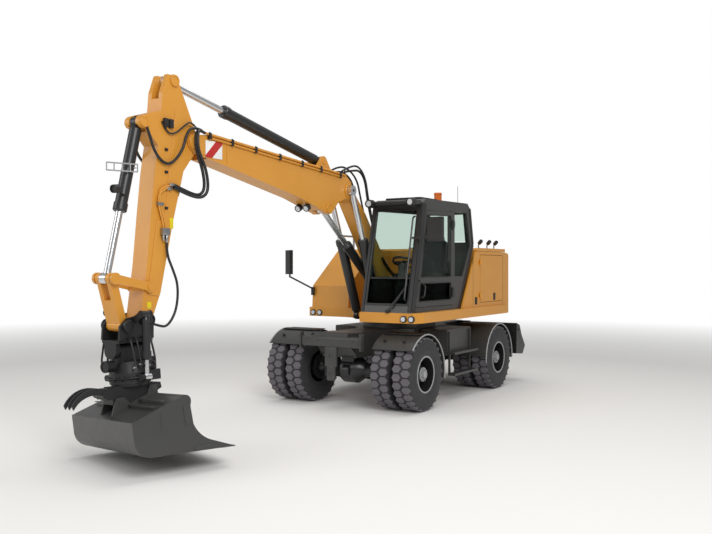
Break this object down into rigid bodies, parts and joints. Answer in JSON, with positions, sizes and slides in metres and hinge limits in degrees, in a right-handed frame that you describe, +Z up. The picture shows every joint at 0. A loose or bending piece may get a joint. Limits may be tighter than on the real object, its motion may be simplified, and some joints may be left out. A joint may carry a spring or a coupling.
{
  "type": "wheeled excavator",
  "caption": "Wheeled excavator with a two-piece boom, a tilting and rotating tool holder, a grading bucket, a rear blade and twin tyres; its arm, steering, doors and wheels move.",
  "frame": {"origin": "on the ground, under the middle of the whole machine's bounding box", "axes": "+X forward along the boom, +Y to the machine's left (the cab's side), +Z up from the ground"},
  "size_m": [9.2042, 3.1338, 4.2768],
  "materials": {
    "yellow_paint": "gloss orange-yellow machine enamel",
    "grey_paint": "semi-gloss dark grey enamel",
    "black_paint": "satin black enamel",
    "cast_black": "black painted casting",
    "tyre": "black tyre rubber",
    "hose": "black hydraulic hose",
    "chrome_rod": "hard chromed cylinder rod",
    "steel": "bare steel",
    "tinted_glass": "green-grey tinted safety glass",
    "black_plastic": "moulded black plastic",
    "lamp_lens": "clear lamp lens",
    "amber_lens": "amber beacon dome",
    "seat_fabric": "dark seat cloth"
  },
  "bodies": {
    "chassis": {"chassis_frame": "grey_paint", "side_boxes": "grey_paint", "front_axle": "black_paint", "rear_axle": "black_paint", "rear_fenders": "grey_paint"},
    "knuckle_left": {"knuckle_left": "black_paint", "fender_front_left": "grey_paint"},
    "knuckle_right": {"knuckle_right": "black_paint", "fender_front_right": "grey_paint"},
    "tie_rod": {"tie_rod": "black_paint"},
    "wheel_front_left": {"tyres_front_left": "tyre", "rims_front_left": "black_paint"},
    "wheel_front_right": {"tyres_front_right": "tyre", "rims_front_right": "black_paint"},
    "wheel_rear_left": {"tyres_rear_left": "tyre", "rims_rear_left": "black_paint"},
    "wheel_rear_right": {"tyres_rear_right": "tyre", "rims_rear_right": "black_paint"},
    "blade": {"blade": "black_paint"},
    "blade_barrels": {"blade_barrels": "black_paint"},
    "blade_rods": {"blade_rods": "chrome_rod"},
    "upper": {"revolving_frame": "yellow_paint", "counterweight": "yellow_paint", "engine_walls": "yellow_paint", "engine_block": "black_paint", "tank_box": "yellow_paint", "cab_shell": "grey_paint", "cab_glass": "tinted_glass", "seat": "seat_fabric", "controls": "black_plastic", "lamps": "lamp_lens", "beacon": "amber_lens", "mirrors": "black_plastic", "handrails": "steel"},
    "cab_door": {"cab_door": "grey_paint", "door_glass": "tinted_glass"},
    "engine_door": {"engine_door": "yellow_paint"},
    "engine_hood": {"engine_hood": "yellow_paint"},
    "stub_boom": {"stub_boom": "yellow_paint"},
    "lift_barrels": {"lift_barrels": "black_paint"},
    "lift_rods": {"lift_rods": "chrome_rod"},
    "main_boom": {"main_boom": "yellow_paint"},
    "angle_barrel": {"angle_barrel": "black_paint"},
    "angle_rod": {"angle_rod": "chrome_rod"},
    "stick": {"stick": "yellow_paint"},
    "stick_barrel": {"stick_barrel": "black_paint"},
    "stick_rod": {"stick_rod": "chrome_rod"},
    "tool_hitch": {"tool_hitch": "cast_black"},
    "idler_links": {"idler_links": "yellow_paint"},
    "bucket_link": {"bucket_link": "yellow_paint"},
    "bucket_barrel": {"bucket_barrel": "black_paint"},
    "bucket_rod": {"bucket_rod": "chrome_rod"},
    "rotor_housing": {"rotor_housing": "cast_black"},
    "tilt_barrel_left": {"tilt_barrel_left": "black_paint"},
    "tilt_rod_left": {"tilt_rod_left": "chrome_rod"},
    "tilt_barrel_right": {"tilt_barrel_right": "black_paint"},
    "tilt_rod_right": {"tilt_rod_right": "chrome_rod"},
    "bucket": {"rotor_coupler": "cast_black", "bucket": "grey_paint"}
  },
  "joints": [
    {"name": "steer", "type": "hinge", "parent": "chassis", "child": "knuckle_left", "pos_m": [-0.592, 0.5, 0.5], "axis": [0, 0, 1], "range_deg": [-30, 30]},
    {"name": "steer_right", "type": "hinge", "parent": "chassis", "child": "knuckle_right", "pos_m": [-0.592, -0.5, 0.5], "axis": [0, 0, 1], "range_deg": [-30.5, 30.5]},
    {"name": "tie_rod_shift", "type": "slide", "parent": "chassis", "child": "tie_rod", "axis": [0, -1, 0], "range_m": [-0.106, 0.106]},
    {"name": "wheel_front_left", "type": "hinge", "parent": "knuckle_left", "child": "wheel_front_left", "pos_m": [-0.592, 0.943, 0.54], "axis": [0, 1, 0], "continuous": true},
    {"name": "wheel_front_right", "type": "hinge", "parent": "knuckle_right", "child": "wheel_front_right", "pos_m": [-0.592, -0.943, 0.54], "axis": [0, 1, 0], "continuous": true},
    {"name": "wheel_rear_left", "type": "hinge", "parent": "chassis", "child": "wheel_rear_left", "pos_m": [-3.342, 0.943, 0.54], "axis": [0, 1, 0], "continuous": true},
    {"name": "wheel_rear_right", "type": "hinge", "parent": "chassis", "child": "wheel_rear_right", "pos_m": [-3.342, -0.943, 0.54], "axis": [0, 1, 0], "continuous": true},
    {"name": "blade", "type": "hinge", "parent": "chassis", "child": "blade", "pos_m": [-3.742, 0, 0.6], "axis": [0, -1, 0], "range_deg": [0, 45]},
    {"name": "blade_barrel_swing", "type": "hinge", "parent": "chassis", "child": "blade_barrels", "pos_m": [-3.842, 0, 1.02], "axis": [0, -1, 0], "range_deg": [-0.5, 18.23]},
    {"name": "blade_rod_stroke", "type": "slide", "parent": "blade_barrels", "child": "blade_rods", "axis": [-0.5496, 0, -0.8354], "range_m": [-0.002, 0.21734]},
    {"name": "slew", "type": "hinge", "parent": "chassis", "child": "upper", "pos_m": [-2.042, 0, 1.262], "axis": [0, 0, 1], "continuous": true},
    {"name": "cab_door", "type": "hinge", "parent": "upper", "child": "cab_door", "pos_m": [-1.732, 1.172, 2.23], "axis": [0, 0, 1], "range_deg": [0, 150]},
    {"name": "engine_door", "type": "hinge", "parent": "upper", "child": "engine_door", "pos_m": [-2.654, 1.221, 1.9], "axis": [0, 0, 1], "range_deg": [-110, 0]},
    {"name": "engine_hood", "type": "hinge", "parent": "upper", "child": "engine_hood", "pos_m": [-2.553, 0, 2.386], "axis": [0, 1, 0], "range_deg": [0, 60]},
    {"name": "boom_lift", "type": "hinge", "parent": "upper", "child": "stub_boom", "pos_m": [-1.542, 0, 1.74], "axis": [0, -1, 0], "range_deg": [-40, 25]},
    {"name": "lift_barrel_swing", "type": "hinge", "parent": "upper", "child": "lift_barrels", "pos_m": [-1.042, 0, 1.35], "axis": [0, -1, 0], "range_deg": [-38.8, 24.43]},
    {"name": "lift_rod_stroke", "type": "slide", "parent": "lift_barrels", "child": "lift_rods", "axis": [0.3881, 0, 0.9216], "range_m": [-0.42314, 0.26521]},
    {"name": "boom_angle", "type": "hinge", "parent": "stub_boom", "child": "main_boom", "pos_m": [-0.242, 0, 3.25], "axis": [0, -1, 0], "range_deg": [-35, 30]},
    {"name": "angle_barrel_swing", "type": "hinge", "parent": "stub_boom", "child": "angle_barrel", "pos_m": [-1.242, 0, 1.79], "axis": [0, -1, 0], "range_deg": [-4.2, 3.67]},
    {"name": "angle_rod_stroke", "type": "slide", "parent": "angle_barrel", "child": "angle_rod", "axis": [0.7905, 0, 0.6125], "range_m": [-0.32948, 0.2827]},
    {"name": "stick", "type": "hinge", "parent": "main_boom", "child": "stick", "pos_m": [3.048, 0, 3.55], "axis": [0, 1, 0], "range_deg": [-55, 45]},
    {"name": "stick_barrel_swing", "type": "hinge", "parent": "main_boom", "child": "stick_barrel", "pos_m": [0.358, 0, 3.63], "axis": [0, 1, 0], "range_deg": [-6.82, 5.67]},
    {"name": "stick_rod_stroke", "type": "slide", "parent": "stick_barrel", "child": "stick_rod", "axis": [0.9819, 0, 0.1895], "range_m": [-0.55894, 0.45768]},
    {"name": "curl", "type": "hinge", "parent": "stick", "child": "tool_hitch", "pos_m": [3.758, 0, 1.54], "axis": [0, -1, 0], "range_deg": [-100, 40]},
    {"name": "idler_swing", "type": "hinge", "parent": "stick", "child": "idler_links", "pos_m": [3.733, 0, 1.896], "axis": [0, -1, 0], "range_deg": [-61.5, 25.2]},
    {"name": "link_swing", "type": "hinge", "parent": "tool_hitch", "child": "bucket_link", "pos_m": [4.058, 0, 1.49], "axis": [0, -1, 0], "range_deg": [-28.08, 68.7]},
    {"name": "bucket_barrel_swing", "type": "hinge", "parent": "stick", "child": "bucket_barrel", "pos_m": [3.788, 0, 3.68], "axis": [0, -1, 0], "range_deg": [-4.94, 2.58]},
    {"name": "bucket_rod_stroke", "type": "slide", "parent": "bucket_barrel", "child": "bucket_rod", "axis": [0.2412, 0, -0.9705], "range_m": [-0.18889, 0.46922]},
    {"name": "tool_tilt", "type": "hinge", "parent": "tool_hitch", "child": "rotor_housing", "pos_m": [3.908, 0, 1.23], "axis": [1, 0, 0], "range_deg": [-40, 30]},
    {"name": "tilt_barrel_left_swing", "type": "hinge", "parent": "tool_hitch", "child": "tilt_barrel_left", "pos_m": [3.918, 0.27, 1.615], "axis": [1, 0, 0], "range_deg": [-18.57, 14.18]},
    {"name": "tilt_rod_left_stroke", "type": "slide", "parent": "tilt_barrel_left", "child": "tilt_rod_left", "axis": [0, 0.038, -0.9993], "range_m": [-0.14131, 0.18774]},
    {"name": "tilt_barrel_right_swing", "type": "hinge", "parent": "tool_hitch", "child": "tilt_barrel_right", "pos_m": [3.918, -0.27, 1.615], "axis": [1, 0, 0], "range_deg": [-18.58, 14.18]},
    {"name": "tilt_rod_right_stroke", "type": "slide", "parent": "tilt_barrel_right", "child": "tilt_rod_right", "axis": [0, 0.0384, -0.9993], "range_m": [-0.18775, 0.14132]},
    {"name": "tool_rotate", "type": "hinge", "parent": "rotor_housing", "child": "bucket", "pos_m": [3.908, 0, 1.23], "axis": [0, -0.0872, 0.9962], "continuous": true}
  ],
  "couplings": [
    {"joint": "steer_right", "follows": "steer", "ratio": 1},
    {"joint": "tie_rod_shift", "follows": "steer", "m_per_rad": 0.2},
    {"joint": "blade_barrel_swing", "follows": "blade", "ratio": 0.39408},
    {"joint": "blade_rod_stroke", "follows": "blade", "m_per_rad": 0.27418},
    {"joint": "lift_barrel_swing", "follows": "boom_lift", "ratio": 0.9574},
    {"joint": "lift_rod_stroke", "follows": "boom_lift", "m_per_rad": 0.60324},
    {"joint": "angle_barrel_swing", "follows": "boom_angle", "ratio": 0.10582},
    {"joint": "angle_rod_stroke", "follows": "boom_angle", "m_per_rad": 0.53609},
    {"joint": "stick_barrel_swing", "follows": "stick", "ratio": 0.11489},
    {"joint": "stick_rod_stroke", "follows": "stick", "m_per_rad": 0.58018},
    {"joint": "idler_swing", "follows": "curl", "ratio": 0.605},
    {"joint": "link_swing", "follows": "curl", "ratio": -0.677},
    {"joint": "bucket_barrel_swing", "follows": "curl", "ratio": 0.0394},
    {"joint": "bucket_rod_stroke", "follows": "curl", "m_per_rad": -0.2677},
    {"joint": "tilt_barrel_left_swing", "follows": "tool_tilt", "ratio": 0.43921},
    {"joint": "tilt_rod_left_stroke", "follows": "tool_tilt", "m_per_rad": -0.26606},
    {"joint": "tilt_barrel_right_swing", "follows": "tool_tilt", "ratio": 0.4394},
    {"joint": "tilt_rod_right_stroke", "follows": "tool_tilt", "m_per_rad": 0.26607}
  ]
}
